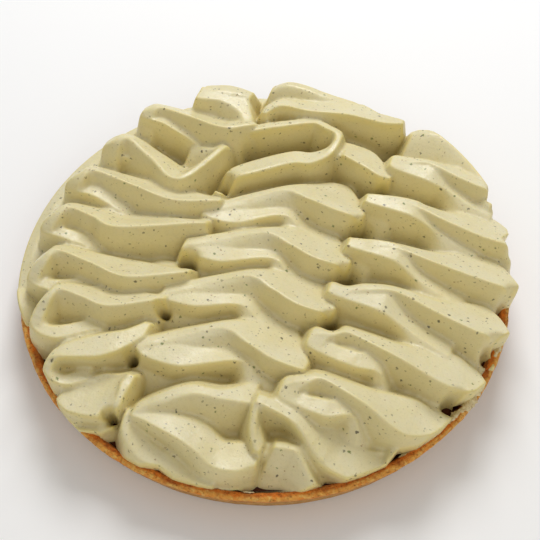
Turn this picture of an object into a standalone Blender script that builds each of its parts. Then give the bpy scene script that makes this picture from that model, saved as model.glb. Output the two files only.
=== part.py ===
"""Chocolate pistachio tart: a round baked shell, chocolate filling, and three
side-by-side columns of pistachio cream piped in deep folded waves."""
from collections import namedtuple
from math import cos, pi, radians, sin, tan

import bmesh
import bpy
import numpy as np

MM = 0.001

# Shell: a shallow dish with a flared side, its sizes in millimetres
RIM_RADIUS = 107.5
SHELL_HEIGHT = 18.0
SIDE_FLARE = radians(20.0)
WALL = 4.6
FLOOR = 3.0
RIM_ROUNDING = 2.2
SHELL_SEGMENTS = 96
PASTRY = (0.43, 0.22, 0.07)

# Chocolate filling: how far its top lies below the rim, and the gap kept
# between pieces that touch
FILLING_DROP = 4.0
GAP = 0.3
FILLING_SEGMENTS = 72
CHOCOLATE = (0.02, 0.008, 0.005)

# Piped cream: how fine its mesh is, the thinnest edge left on it, how far its
# foot stays inside the shell's inner wall, and its colour
CREAM_CELL = 1.0
CREAM_FACETS = 3000
THINNEST = 0.8
FOOT_INSET = 2.6
CREAM = (0.60, 0.55, 0.33)

# Height of the crests over the rim, and how far walls, backs and ends run
# sideways for each mm down
CREST = 21.0
STEEP = 0.20
BACK_RUN = 0.45
SIDE_RUN = 0.22

# Half width and roundness of a ribbon's edge, and of the creases between folds
RIBBON_HALF = 1.4
SHARP = 0.35
CREASE_RADIUS = 1.5

# How far the cream leans for each mm up: to the right, to the back, outwards
LEAN_X = 0.12
LEAN_Y = -0.25
LEAN_OUT = 0.12

# Where the middle of the piping lies, and the level where there is no cream
CREAM_OFFSET = (-1.6, 1.4)
LOWEST = -8.0

# A station of a ribbon: place, height, width and fall of the shelf behind its
# front edge, run of its front wall, how round the edge is and its half width.
Station = namedtuple("Station", "x y z shelf fall run round half", defaults=[RIBBON_HALF])

# One piped wave, in millimetres: where its left turn lies, how far its long
# arm rises behind the turn and where along the arm, how far it reaches to the
# right, where and how far it falls back and hooks up again, how high its right
# end stands, how far the short lower arm bellies forward, reaches and sinks,
# how high that arm and its tip are, and how far and steep the top behind it is.
Wave = namedtuple("Wave", "x y rise crown reach dip fall hook end belly tip sink low tip_z deck pitch tail")

# How the waves of one column are folded: front, roundness and height of the
# left part of the long arm, front of the short arm, front, slope and depth of
# the long arm's back, and where the next fold's mouth comes out at its end.
Column = namedtuple("Column", "left_run left_round left_high turn_lift low_run long_run long_fall "
                    "low_at crown_shelf mid_shelf long_shelf end_shelf turn_half mouth hump waves")

LEFT = Column(left_run=0.75, left_round=2.0, left_high=0.85, turn_lift=0.0, low_run=0.35, long_run=0.58,
              long_fall=0.9, low_at=0.45, crown_shelf=4.0, mid_shelf=8.0, long_shelf=13.0, end_shelf=2.0,
              turn_half=2.6, mouth=(-16.0, 6.0, 9.0), hump=(7.0, 1.0, -4.0, 2.0), waves=[
    Wave(-80, 53, 6, 0.16, 53, 0.75, 2, 7, 20, 1, 25, 2, 18, 13, 15, 0.42, 1),
    Wave(-89, 29, 7, 0.20, 54, 0.77, 15, 24, 20, -1, 23, -1, 14, 11, 5.5, 0.05, 0),
    Wave(-95, 3, 10, 0.15, 69, 0.72, 4, 7, 20, 0, 31, 3, 15, 11, 5.5, 0.05, 0),
    Wave(-95, -22, 12, 0.14, 67, 0.50, 3, 15, 20, 1, 26, -1, 15, 10, 5.5, 0.05, 0),
    Wave(-89, -46, 13, 0.14, 64, 0.65, 3, 11, 20, 3, 27, -5, 14, 12, 5.5, 0.05, 0),
    Wave(-78, -64, 13, 0.14, 49, 0.60, 1, 11, 20, 6, 27, -5, 14, 12.5, 5.5, 0.05, 0),
])
MIDDLE = Column(left_run=1.4, left_round=4.0, left_high=0.1, turn_lift=0.0, low_run=0.4, long_run=0.45,
                long_fall=0.62, low_at=0.45, crown_shelf=4.0, mid_shelf=14.0, long_shelf=22.0, end_shelf=5.0,
                turn_half=1.4, mouth=(-16.0, 14.0, 6.0), hump=(9.0, -2.0, -3.0, 4.0), waves=[
    Wave(-31, 7, 25, 0.46, 67, 0.80, 4, 0, 20, -3, 32, -14, 16, 16, 13, 0.06, 1),
    Wave(-32, -12, 19, 0.46, 70, 0.80, 7, 1, 20, 0, 36, -9, 16, 16, 13, 0.06, 1),
    Wave(-31, -39, 22, 0.46, 70, 0.80, 8, 1, 20, -2, 31, -9, 16, 16, 13, 0.06, 1),
    Wave(-30, -66, 21, 0.46, 67, 0.80, 8, 0, 20, 0, 39, -11, 16, 15, 13, 0.06, 1),
])
RIGHT = Column(left_run=0.9, left_round=0.5, left_high=1.0, turn_lift=0.5, low_run=0.38, long_run=0.45,
               long_fall=0.6, low_at=0.65, crown_shelf=3.0, mid_shelf=8.0, long_shelf=17.0, end_shelf=5.0,
               turn_half=3.2, mouth=(-20.0, 12.0, 9.0), hump=(11.0, -2.5, -2.0, 3.0), waves=[
    Wave(39, 63, 5, 0.34, 49, 0.85, 6, 1, 19, 5, 27, 5, 20.3, 17, 9, 0.0, 1),
    Wave(35, 37, 5, 0.28, 68, 0.80, 7, 1, 20, 1, 31, 2, 20.5, 16.5, 9, 0.0, 1),
    Wave(35, 11, 6, 0.25, 73, 0.80, 4, 0, 20, 1, 31, 4, 20.5, 16.5, 9, 0.0, 1),
    Wave(35, -14, 9, 0.34, 75, 0.85, 8, 1, 20, 2, 32, 4, 20, 16.5, 9, 0.0, 1),
    Wave(34, -38, 7, 0.20, 72, 0.80, 8, 5, 13, 6, 29, 4, 18.5, 16.5, 7, 0.0, 0),
    Wave(31, -64, 9, 0.22, 66, 0.76, 9, 12, 8, 5, 28, 0, 18, 16.0, 7, 0.0, 0),
])

# Folds that don't follow the waves: the back row, the loose curl behind the
# middle, the low front lobes and the tail of the last fold.
MIDDLE_EXTRAS = [
    [Station(-27, 91, 17, 3, 0.3, 0.8, 2.5), Station(-18, 94, 20, 3, 0.3, 0.8, 3.0),
     Station(0, 94, 18, 3, 0.3, 1.0, 3.0), Station(20, 95, 16, 3, 0.3, 1.0, 3.0),
     Station(33, 93, 17, 3, 0.3, 0.5, 2.0)],
    [Station(-26, 73, 19, 6, 0.4, STEEP, SHARP), Station(-20, 79, 20.5, 6, 0.4, STEEP, SHARP),
     Station(-6, 80, 21, 8, 0.4, STEEP, SHARP), Station(12, 84, 21, 10, 0.35, STEEP, SHARP),
     Station(28, 85, 20.5, 12, 0.3, STEEP, SHARP), Station(36, 88, 20, 8, 0.3, STEEP, SHARP)],
    [Station(-29, 61, 18, 4, 0.4, STEEP, SHARP), Station(-18, 67, 19, 4, 0.4, STEEP, SHARP),
     Station(-3, 75, 19, 3, 0.4, STEEP, SHARP), Station(6, 73, 20, 3, 0.4, STEEP, SHARP),
     Station(11, 71, 20, 3, 0.4, STEEP, 0.6), Station(12, 65, 20.5, 4, 0.4, STEEP, 0.6),
     Station(10, 57, 20.5, 6, 0.4, STEEP, SHARP), Station(4, 50, 20.5, 8, 0.35, STEEP, SHARP),
     Station(-4, 47, 20.5, 9, 0.35, STEEP, SHARP), Station(-16, 38, 20, 10, 0.35, STEEP, SHARP),
     Station(-27, 30, 19, 8, 0.35, STEEP, SHARP), Station(-30, 25, 17, 5, 0.3, 0.4, SHARP)],
    [Station(33, 68, 10, 4, 0.4, 0.4, 1.0), Station(39, 60, 16, 5, 0.5, STEEP, 1.0),
     Station(38, 54, 19, 8, 0.5, STEEP, SHARP), Station(28, 57, 20, 14, 0.5, STEEP, SHARP),
     Station(18, 61, 19, 12, 0.5, STEEP, SHARP)],
    [Station(20, -72, 16, 10, 0.4, 0.6, 1.0), Station(10, -75, 18, 4, 0.3, 0.7, 1.0),
     Station(-2, -77, 18, 4, 0.3, 0.8, 1.0), Station(-12, -84, 17, 4, 0.3, 0.8, 1.0),
     Station(-20, -91, 14, 4, 0.3, 0.6, 0.6), Station(-14, -93, 15, 5, 0.2, 0.4, SHARP),
     Station(-4, -95, 15, 9, 0.3, 0.35, SHARP), Station(6, -97, 13, 12, 0.3, 0.5, SHARP),
     Station(15, -100, 10, 12, 0.2, 0.55, SHARP), Station(24, -98, 9, 12, 0.1, 0.6, SHARP),
     Station(30, -93, 9, 8, 0.1, 0.7, SHARP)],
    [Station(-23, -92, 12, 3, 0.1, 0.4, 0.6), Station(-22, -97, 10.5, 6, 0.0, 0.45, 0.6),
     Station(-18, -102, 8, 8, 0.0, 0.5, 0.6), Station(-12, -105, 6, 8, 0.0, 0.5, 0.6),
     Station(-4, -105, 5, 6, 0.0, 0.5, 0.6), Station(6, -105, 3, 3, 0.2, 0.5, 0.6),
     Station(16, -104, 1, 3, 0.2, 0.5, 0.6)],
]
LEFT_EXTRAS = [
    [Station(-57, 77, 19, 5, 0.3, 1.2, 4.0), Station(-46, 80, 20, 5, 0.3, 1.2, 4.0),
     Station(-37, 82, 18, 4, 0.3, 1.2, 3.0)],
    [Station(-58, 71, 20, 8, 0.1, 0.5, SHARP), Station(-48, 73, 20, 8, 0.1, 0.6, SHARP),
     Station(-38, 71, 19, 8, 0.1, 0.8, 0.8), Station(-33, 67, 19, 5, 0.2, 0.8, 0.8),
     Station(-31, 62, 20, 5, 0.4, 0.5, SHARP), Station(-38, 57, 21, 6, 0.5, 0.5, SHARP)],
    [Station(-31, -58, 17, 6, 0.1, 0.5, 1.5), Station(-37, -68, 18, 9, 0.05, 0.3, SHARP),
     Station(-44, -74, 18, 11, 0.1, STEEP, SHARP), Station(-52, -77, 17.5, 9, 0.15, STEEP, SHARP),
     Station(-58, -79, 17, 6, 0.2, STEEP, SHARP), Station(-61, -81, 15.5, 4, 0.3, STEEP, SHARP, 1.8),
     Station(-61, -85, 13, 4, 0.3, 0.3, SHARP, 1.8), Station(-57, -87.5, 11.5, 4, 0.3, 0.3, SHARP),
     Station(-52, -86.5, 11, 5, 0.2, 0.3, SHARP), Station(-47, -82, 10.5, 5, 0.2, 0.4, 1.0)],
    [Station(-30, -77, 12, 4, 0.7, STEEP, SHARP, 0.5),
     Station(-29, -81, 15.5, 5, 0.5, STEEP, SHARP), Station(-28, -86, 16, 9, 0.2, STEEP, SHARP),
     Station(-28, -91, 15, 15, 0.0, STEEP, SHARP), Station(-33, -95.5, 12, 19, -0.05, STEEP, SHARP),
     Station(-40, -97, 10.5, 19, -0.08, STEEP, SHARP), Station(-46, -97, 9.5, 13, -0.08, STEEP, SHARP),
     Station(-51, -95, 8.5, 7, -0.05, STEEP, SHARP),
     Station(-53, -97, 6.5, 3, 0.2, STEEP, SHARP, 1.8), Station(-50, -101, 4, 2.5, 0.3, 0.3, SHARP),
     Station(-44, -103, 3, 2.5, 0.3, 0.3, SHARP), Station(-37, -101, 3, 2.5, 0.3, 0.4, SHARP),
     Station(-30, -95, 4.5, 3, 0.3, 0.4, SHARP)],
]
RIGHT_EXTRAS = [
    [Station(25, -73, 20, 4, 0.4, 0.5, SHARP), Station(38, -75, 18.5, 6, 0.4, STEEP, SHARP),
     Station(45, -78, 16, 10, 0.4, STEEP, SHARP), Station(52, -83, 12, 14, 0.2, STEEP, SHARP),
     Station(58, -85, 8, 16, 0.1, STEEP, SHARP), Station(68, -84, 4.5, 14, 0.0, STEEP, SHARP),
     Station(77, -78, 3, 10, -0.1, STEEP, SHARP), Station(79, -70, 5, 6, 0.0, 0.3, 0.6)],
    [Station(24, -74, 19, 4, 0.4, 0.3, SHARP), Station(26, -83, 15, 5, 0.2, 0.3, SHARP),
     Station(30, -89, 12, 5, 0.2, 0.3, SHARP)],
    [Station(37, -85, 12.5, 2, 0.4, 0.9, SHARP), Station(43, -84, 12.5, 2, 0.4, 0.9, SHARP),
     Station(48, -87, 9, 1.5, 0.4, 0.9, SHARP), Station(53, -91, 5, 1.5, 0.4, 0.9, SHARP),
     Station(59, -95, 0.5, 1.5, 0.4, 0.9, SHARP)],
    [Station(43, 88, 14, 3, 0.3, 1.4, 4.0), Station(51, 89, 17.5, 4, 0.3, 1.4, 4.0),
     Station(60, 87, 18.5, 5, 0.3, 1.3, 4.0), Station(70, 80, 18.5, 5, 0.3, 1.3, 4.0),
     Station(80, 71, 18.5, 4, 0.3, 1.3, 4.0), Station(86, 64, 18.5, 3, 0.3, 1.3, 4.0)],
]

# Gaps left dark where the ends of folds don't meet: place and size
GAPS = [(84, 67, 3.0), (99, 42, 3.5), (104, 15, 4.0), (103, -10, 4.0), (94, -38, 3.0),
        (34, 29, 3.6), (36, 3, 3.8), (37, -21, 3.3), (-27, 59, 2.8), (-31, 33, 3.4), (-30, -11, 3.0),
        (-30, -38, 1.8), (-33, -63, 1.8), (-31, -90, 2.0), (37, 55, 2.0)]
GAP_DEPTH = 20.0

# A bulge of cream over the rim at the left: place, height and size
BULGE = (-93.0, -52.0, 6.0, 11.0)

# The skirt over the rim at the left and back: least height, rise inwards and
# greatest height
SKIRT = (0.6, 0.4, 2.2)

# How far out the cream reaches round the tart: direction in degrees and radius
REACH = [(-180, 107.9), (-155, 107.9), (-149, 106.5), (-143, 104.5), (-132, 104.0), (-124, 105.0),
         (-121, 106.8), (-114, 106.8), (-110, 103.0), (-106, 104.8), (-98, 105.0), (-94, 102.5), (-90, 104.6),
         (-80, 104.4), (-76, 102.5), (-72, 104.2), (-62, 104.4), (-58, 103.0), (-54, 104.0), (-43, 104.0),
         (-39, 101.0), (-35, 104.0), (-28, 104.6), (-24, 104.0), (-20.5, 100.5), (-17, 104.5), (-12, 106.5),
         (-6, 106.5), (-3, 102.0), (0, 106.5), (3, 108.2), (6, 107.0), (8.5, 102.5), (11, 107.0), (14, 108.2),
         (22, 108.2), (24, 106.5), (26, 102.5), (28, 107.0), (31, 108.2), (37, 107.5), (39, 104.0),
         (41, 107.5), (64, 108.2), (70, 104.0), (78, 101.0), (84, 103.5), (100, 106.5), (112, 107.9),
         (180, 107.9)]
EDGE_RUN = 0.13

# How the tip of a short arm without a hump behind it sinks away: to the right,
# back, down and how round
TIP_FADE = (5.0, -1.0, -7.0, 3.0)


def fold_stations(wave, column):
    """Stations of one wave, from its mouth round the right end, along the long
    arm, round the left turn and along the short lower arm to its tip."""
    low, fall = wave.low, column.long_fall
    end_x = wave.x + wave.reach - RIBBON_HALF
    dip_x = wave.x + wave.dip * wave.reach
    dip_y = wave.y + wave.rise - wave.fall
    dip_z = CREST if wave.end > 18 else 0.5 * (CREST + wave.end)
    end_y = dip_y + wave.hook
    mouth_x, mouth_y, mouth_z = column.mouth
    mouth_z = min(mouth_z, wave.end - 3.0)
    left_z = low + (CREST - low) * column.left_high
    turn_z = low + column.turn_lift
    turn_x = wave.x + column.turn_half
    crown_x = wave.x + wave.crown * wave.reach
    run, edge, long_run = column.left_run, column.left_round, column.long_run
    tip_x, tip_y = wave.x + wave.tip, wave.y - wave.sink
    hump_x, hump_y, hump_z, hump_round = column.hump if wave.tail else TIP_FADE
    return [
        Station(end_x + mouth_x, end_y + mouth_y, mouth_z, 5.0, fall, 1.2, 4.0),
        Station(end_x + 0.3 * mouth_x, end_y + 0.5 * mouth_y, 0.5 * (mouth_z + wave.end), 6.0, fall, 0.8,
                3.0),
        Station(end_x, end_y, wave.end, column.end_shelf, fall, long_run, SHARP),
        Station(dip_x, dip_y, dip_z, column.long_shelf, fall * wave.end / CREST, long_run, SHARP),
        Station(0.5 * (crown_x + dip_x), dip_y + 0.45 * wave.fall, CREST, column.mid_shelf, fall, long_run,
                SHARP),
        Station(crown_x, wave.y + wave.rise, 0.7 * CREST + 0.3 * left_z, column.crown_shelf, fall,
                0.5 * (run + long_run), 0.5 * edge),
        Station(0.45 * crown_x + 0.55 * turn_x, wave.y + 0.62 * wave.rise, left_z, column.crown_shelf, 0.3,
                run, edge),
        Station(turn_x + 0.3, wave.y + 0.2 * wave.rise, 0.5 * (turn_z + left_z), 4.0, 0.3,
                0.5 * (run + column.low_run), 0.6, column.turn_half),
        Station(turn_x + 1.0, wave.y - 0.6 * wave.belly, turn_z, 0.6 * wave.deck, wave.pitch, column.low_run,
                SHARP, column.turn_half),
        Station(wave.x + column.low_at * wave.tip, wave.y - wave.belly, low, wave.deck, wave.pitch,
                column.low_run, SHARP),
        Station(tip_x, tip_y, wave.tip_z, wave.deck, 0.3, column.low_run, 0.6),
        Station(tip_x + hump_x, tip_y + hump_y, wave.tip_z + hump_z, 8.0, 0.4, 1.2, hump_round),
        Station(tip_x + 1.9 * hump_x, tip_y + 2.0 * hump_y, wave.tip_z + 1.8 * hump_z, 8.0, 0.4, 1.2,
                hump_round),
    ]


def smooth_path(points, step):
    """Catmull-Rom curve through the control points, sampled at even steps."""
    pts = np.array([points[0]] + list(points) + [points[-1]], float)
    samples = []
    for i in range(1, len(pts) - 2):
        p0, p1, p2, p3 = pts[i - 1:i + 3]
        count = max(2, int(np.linalg.norm(p2[:3] - p1[:3]) / step))
        for t in np.arange(count) / count:
            samples.append(0.5 * (2 * p1 + (p2 - p0) * t
                                  + (2 * p0 - 5 * p1 + 4 * p2 - p3) * t ** 2
                                  + (3 * p1 - p0 - 3 * p2 + p3) * t ** 3))
    samples.append(pts[-2])
    return np.array(samples)


def lean_at(x, y):
    """How far the cream leans sideways per mm of height: to the front, a little
    to the right, and outwards near the edge."""
    return LEAN_X + LEAN_OUT * x / RIM_RADIUS, LEAN_Y + LEAN_OUT * y / RIM_RADIUS


def pipe(field, xs, ys, stations, step):
    """Raise the height field to a ribbon laid along the stations."""
    for x, y, z, shelf, fall, run, rounding, half in smooth_path(stations, step):
        shelf, run, rounding, half = max(shelf, 1.0), max(run, 0.1), max(rounding, 0.2), max(half, 0.4)
        x, y = x + CREAM_OFFSET[0], y + CREAM_OFFSET[1]
        lean_x, lean_y = lean_at(x, y)
        x, y = x - lean_x * z, y - lean_y * z
        deep = z + 6.0
        i0, i1 = np.searchsorted(xs, (x - half - deep * SIDE_RUN, x + half + deep * SIDE_RUN))
        j0, j1 = np.searchsorted(ys, (y - deep * run - rounding, y + shelf + deep * BACK_RUN))
        if i1 <= i0 or j1 <= j0:
            continue
        dx = np.abs(xs[i0:i1] - x)
        dy = ys[j0:j1] - y
        side = np.clip(dx - half, 0, None) / SIDE_RUN
        front = (np.hypot(dy, rounding) - rounding) / run
        back = fall * np.clip(dy, 0, shelf) + np.clip(dy - shelf, 0, None) / BACK_RUN
        drop = np.where(dy < 0, front, back)
        height = z - np.hypot(side[:, None], drop[None, :])
        np.maximum(field[i0:i1, j0:j1], height, out=field[i0:i1, j0:j1])


def fill_creases(field, cell, radius):
    """Round the creases between folds with a ball of the given radius."""
    reach = int(radius / cell)
    offsets = []
    for i in range(-reach, reach + 1):
        for j in range(-reach, reach + 1):
            d2 = (i * cell) ** 2 + (j * cell) ** 2
            if d2 <= radius ** 2:
                offsets.append((i, j, (radius ** 2 - d2) ** 0.5))
    grown = np.full_like(field, -1e9)
    for i, j, lift in offsets:
        grown = np.maximum(grown, np.roll(field, (i, j), (0, 1)) + lift)
    shrunk = np.full_like(field, 1e9)
    for i, j, lift in offsets:
        shrunk = np.minimum(shrunk, np.roll(grown, (i, j), (0, 1)) - lift)
    return shrunk


def column_field(column, extras, xs, ys, step):
    field = np.full((len(xs), len(ys)), LOWEST)
    stations = []
    for wave in column.waves:
        stations += fold_stations(wave, column)
    pipe(field, xs, ys, stations[1:], step)
    for extra in extras:
        pipe(field, xs, ys, extra, step)
    return fill_creases(field, step, CREASE_RADIUS)


def reach_at(turn):
    return np.interp(turn, [t for t, _ in REACH], [reach for _, reach in REACH])


def trim_edges(field, xs, ys):
    """Open the gaps between folds, add the bulge and the thin skirt at the left
    and back, and end the cream where the tart's edge is."""
    for x, y, size in GAPS:
        away = np.hypot(xs[:, None] - x - CREAM_OFFSET[0], ys[None, :] - y - CREAM_OFFSET[1])
        field = field - GAP_DEPTH * np.exp(-(away / size) ** 2)
    away = np.hypot(xs[:, None] - BULGE[0], ys[None, :] - BULGE[1])
    field = np.maximum(field, BULGE[2] - BULGE[2] * (away / BULGE[3]) ** 2)
    r = np.hypot(xs[:, None], ys[None, :])
    turn = np.degrees(np.arctan2(ys[None, :], xs[:, None]))
    edge = reach_at(turn)
    skirt = np.minimum(SKIRT[0] + SKIRT[1] * np.clip(RIM_RADIUS - r, 0, None), SKIRT[2])
    skirt = skirt - np.clip(RIM_RADIUS - 12.0 - r, 0, None)
    skirt = np.where((edge > RIM_RADIUS) & (np.abs(turn) > 90), skirt, LOWEST)
    return np.minimum(np.maximum(field, skirt), (edge - r) / EDGE_RUN)


def spread(values, times):
    """Average over neighbours, a number of times."""
    for _ in range(times):
        values = (values + np.roll(values, 1, 0) + np.roll(values, -1, 0)
                  + np.roll(values, 1, 1) + np.roll(values, -1, 1)) / 5
    return values


def cream_floor(xs, ys):
    """Underside of the cream: on the filling inside, just over the rim outside."""
    r = np.hypot(xs[:, None], ys[None, :])
    inner = RIM_RADIUS - WALL - FOOT_INSET
    floor = np.where(r < inner, -FILLING_DROP + GAP, GAP + 0.2)
    return floor + 0.6 * np.clip(r - RIM_RADIUS + 2.0, 0, None)


def cream_mesh(name, top, floor, mine, xs, ys):
    """Closed mesh of the cells that belong to one column."""
    solid = mine & (top > floor + THINNEST)
    faces = solid[:-1, :-1] & solid[1:, :-1] & solid[:-1, 1:] & solid[1:, 1:]
    verts, index = [], {}

    def vertex(i, j, upper):
        key = (i, j, upper)
        if key not in index:
            z = top[i, j] if upper else floor[i, j]
            lift = max(z, 0.0)
            index[key] = len(verts)
            lean_x, lean_y = lean_at(xs[i], ys[j])
            verts.append(((xs[i] + lean_x * lift) * MM, (ys[j] + lean_y * lift) * MM,
                          (SHELL_HEIGHT + z) * MM))
        return index[key]

    polys = []
    count_i, count_j = faces.shape
    for i in range(count_i):
        for j in range(count_j):
            if not faces[i, j]:
                continue
            ring = [(i, j), (i + 1, j), (i + 1, j + 1), (i, j + 1)]
            polys.append([vertex(a, b, True) for a, b in ring])
            polys.append([vertex(a, b, False) for a, b in reversed(ring)])
            sides = [(i, j - 1), (i + 1, j), (i, j + 1), (i - 1, j)]
            for k, (a, b) in enumerate(sides):
                open_side = not (0 <= a < count_i and 0 <= b < count_j and faces[a, b])
                if open_side:
                    p, q = ring[k], ring[(k + 1) % 4]
                    polys.append([vertex(*p, False), vertex(*q, False),
                                  vertex(*q, True), vertex(*p, True)])
    mesh = bpy.data.meshes.new(name)
    mesh.from_pydata(verts, [], polys)
    mesh.update()
    return mesh


def keep_one_body(mesh):
    """Drop stray islands and corner pinches so the column is a single body."""
    bm = bmesh.new()
    bm.from_mesh(mesh)
    seen, best = set(), []
    for start in bm.faces:
        if start in seen:
            continue
        group, stack = [], [start]
        seen.add(start)
        while stack:
            face = stack.pop()
            group.append(face)
            for edge in face.edges:
                for other in edge.link_faces:
                    if other not in seen:
                        seen.add(other)
                        stack.append(other)
        if len(group) > len(best):
            best = group
    keep = set(best)
    bmesh.ops.delete(bm, geom=[f for f in bm.faces if f not in keep], context="FACES")
    bm.to_mesh(mesh)
    bm.free()


def add_object(name, mesh, colour, roughness, smooth=True):
    material = bpy.data.materials.new(name)
    material.use_nodes = True
    shader = material.node_tree.nodes["Principled BSDF"]
    shader.inputs["Base Color"].default_value = (*colour, 1.0)
    shader.inputs["Roughness"].default_value = roughness
    mesh.materials.append(material)
    for polygon in mesh.polygons:
        polygon.use_smooth = smooth
    obj = bpy.data.objects.new(name, mesh)
    bpy.context.scene.collection.objects.link(obj)
    return obj


def turned_mesh(name, profile, segments):
    """Solid turned about the vertical axis from a closed (radius, z) profile
    whose first and last points lie on the axis."""
    bm = bmesh.new()
    rings = []
    for r, z in profile:
        if r == 0.0:
            rings.append([bm.verts.new((0.0, 0.0, z * MM))])
        else:
            rings.append([bm.verts.new((r * cos(2 * pi * k / segments) * MM,
                                        r * sin(2 * pi * k / segments) * MM, z * MM))
                          for k in range(segments)])
    for lower, upper in zip(rings, rings[1:]):
        for k in range(segments):
            n = (k + 1) % segments
            loop = [lower[k % len(lower)], lower[n % len(lower)],
                    upper[n % len(upper)], upper[k % len(upper)]]
            unique = []
            for v in loop:
                if v not in unique:
                    unique.append(v)
            bm.faces.new(unique)
    bmesh.ops.recalc_face_normals(bm, faces=bm.faces)
    mesh = bpy.data.meshes.new(name)
    bm.to_mesh(mesh)
    bm.free()
    return mesh


def shell_radius(z):
    return RIM_RADIUS - (SHELL_HEIGHT - z) * tan(SIDE_FLARE)


def make_shell():
    top = SHELL_HEIGHT
    r = RIM_ROUNDING
    outer = RIM_RADIUS
    profile = [(0.0, 0.0), (shell_radius(0) - 2.0, 0.0), (shell_radius(1.5), 1.5),
               (shell_radius(top - r) - 0.2, top - r), (outer - 0.6, top - 0.8),
               (outer - r, top), (outer - WALL + 1.0, top - 0.2),
               (outer - WALL, top - 1.2), (shell_radius(FLOOR + 1.5) - WALL, FLOOR + 1.5),
               (shell_radius(FLOOR) - WALL - 1.5, FLOOR), (0.0, FLOOR)]
    return add_object("pastry_shell", turned_mesh("pastry_shell", profile, SHELL_SEGMENTS),
                      PASTRY, 0.7)


def make_filling():
    top = SHELL_HEIGHT - FILLING_DROP
    low = FLOOR + GAP
    profile = [(0.0, low), (shell_radius(low) - WALL - 2.2, low),
               (shell_radius(low + 2.0) - WALL - 0.5, low + 2.0),
               (shell_radius(top) - WALL - 0.5, top), (0.0, top)]
    return add_object("chocolate_filling", turned_mesh("chocolate_filling", profile, FILLING_SEGMENTS),
                      CHOCOLATE, 0.25)


def make_cream():
    """Three columns, each the part of the cream where its own folds are highest."""
    xs = np.arange(-114.0, 114.0 + CREAM_CELL, CREAM_CELL)
    ys = np.arange(-114.0, 114.0 + CREAM_CELL, CREAM_CELL)
    fields = [column_field(column, extras, xs, ys, CREAM_CELL)
              for column, extras in ((LEFT, LEFT_EXTRAS), (MIDDLE, MIDDLE_EXTRAS), (RIGHT, RIGHT_EXTRAS))]
    owner = np.argmax(np.array(fields), axis=0)
    top = spread(trim_edges(np.max(np.array(fields), axis=0), xs, ys), 1)
    for k, name in enumerate(("cream_left", "cream_middle", "cream_right")):
        mesh = cream_mesh(name, top, cream_floor(xs, ys), owner == k, xs, ys)
        keep_one_body(mesh)
        obj = add_object(name, mesh, CREAM, 0.55)
        fewer = obj.modifiers.new("fewer_facets", "DECIMATE")
        fewer.ratio = CREAM_FACETS / sum(len(p.vertices) - 2 for p in mesh.polygons)


for old in list(bpy.data.objects):
    bpy.data.objects.remove(old, do_unlink=True)
make_shell()
make_filling()
make_cream()
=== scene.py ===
"""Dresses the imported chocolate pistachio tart: a baked shell filled with dark
chocolate, under three columns of pistachio cream piped in deep folded waves."""
from collections import namedtuple
from math import cos, pi, radians, sin, tan

import bpy
import numpy as np
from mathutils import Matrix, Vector


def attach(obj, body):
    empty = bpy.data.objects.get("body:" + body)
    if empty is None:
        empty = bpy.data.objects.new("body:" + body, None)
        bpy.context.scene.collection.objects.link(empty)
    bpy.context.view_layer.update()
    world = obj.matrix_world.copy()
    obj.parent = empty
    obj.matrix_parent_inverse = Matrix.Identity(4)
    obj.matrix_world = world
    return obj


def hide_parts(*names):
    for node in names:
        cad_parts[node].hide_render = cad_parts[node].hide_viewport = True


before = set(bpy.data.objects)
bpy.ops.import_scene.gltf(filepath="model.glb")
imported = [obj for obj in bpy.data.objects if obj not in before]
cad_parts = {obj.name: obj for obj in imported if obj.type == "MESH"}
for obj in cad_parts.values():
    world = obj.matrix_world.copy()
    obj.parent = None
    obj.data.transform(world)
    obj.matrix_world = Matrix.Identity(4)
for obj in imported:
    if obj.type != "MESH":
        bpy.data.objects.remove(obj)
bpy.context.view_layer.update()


# Pastry shell
# A blind-baked sweet shortcrust case, pressed into a ring and baked until its
# rim is brown and a little rough. Everything else sits inside it.

# Sizes in millimetres, and metres in one
MM = 0.001
RIM_RADIUS = 107.5
SHELL_HEIGHT = 18.0
SIDE_FLARE = radians(20.0)
WALL = 4.6
FLOOR = 3.0

# How finely the case is divided: round the ring, across its wall, which starts
# at this radius, and across its flat floor
SHELL_TURNS = 720
WALL_START = 90.0
WALL_STEP = 0.45
FLOOR_STEP = 12.0

# Baked bumps: height, how many round the ring and across it, and seed. They
# start at this radius, grow over this far and are low near the underside.
BAKED_BUMPS = [(0.16, (150, 14), 11), (0.10, (330, 34), 12), (0.22, (40, 5), 13)]
BUMPS_START = 96.0
BUMPS_GROW = 4.0
BUMPS_UP = 3.0
BUMPS_LEAST = 0.15

# The top of the rim: its height, how far down it counts and the radius it lies
# outside of; how deep and rare its chips are, with their number round and across
# and their seed; and how far its height wanders, with the same for that
CREST_HEIGHT = 17.5
CREST_SPREAD = 1.6
CREST_INSIDE = 100.0
CHIP_DEPTH = 0.35
CHIP_RARE = 0.45
CHIPS = ((200, 60), 14)
RIM_WANDER = 0.25
WANDER = ((22, 1), 15)

# Colours of the crust: patches on top, pale grains, whose colour also paints the
# highlight on the rim's outer edge, painted golden glints on that edge, the side
# and its patches, and the dark baked pits
CRUST_TAN = (0.93, 0.225, 0.018)
CRUST_BROWN = (0.46, 0.082, 0.006)
CRUST_PALE_AND_HIGHLIGHT = (1.0, 0.49, 0.095)
CRUST_GLINT = (1.0, 0.64, 0.18)
CRUST_SIDE = (0.66, 0.34, 0.095)
CRUST_LOW = (0.38, 0.19, 0.055)
CRUST_DARK = (0.32, 0.060, 0.007)

# Marks of the baking, and the painted glints on the edge: how many waves per
# metre, their detail and roughness, and the levels of noise between which they come in
PATCHES = (110.0, 5.0, 0.75, 0.42, 0.58)
GRAINS = (430.0, 4.0, 0.65, 0.38, 0.64)
EDGE_GLINTS = (520.0, 2.0, 0.6, 0.50, 0.62)
PITS = (700.0, 2.0, 0.5, 0.60, 0.70)
FLOUR = (1300.0, 3.0, 0.6, 0.40, 0.66)
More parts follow.
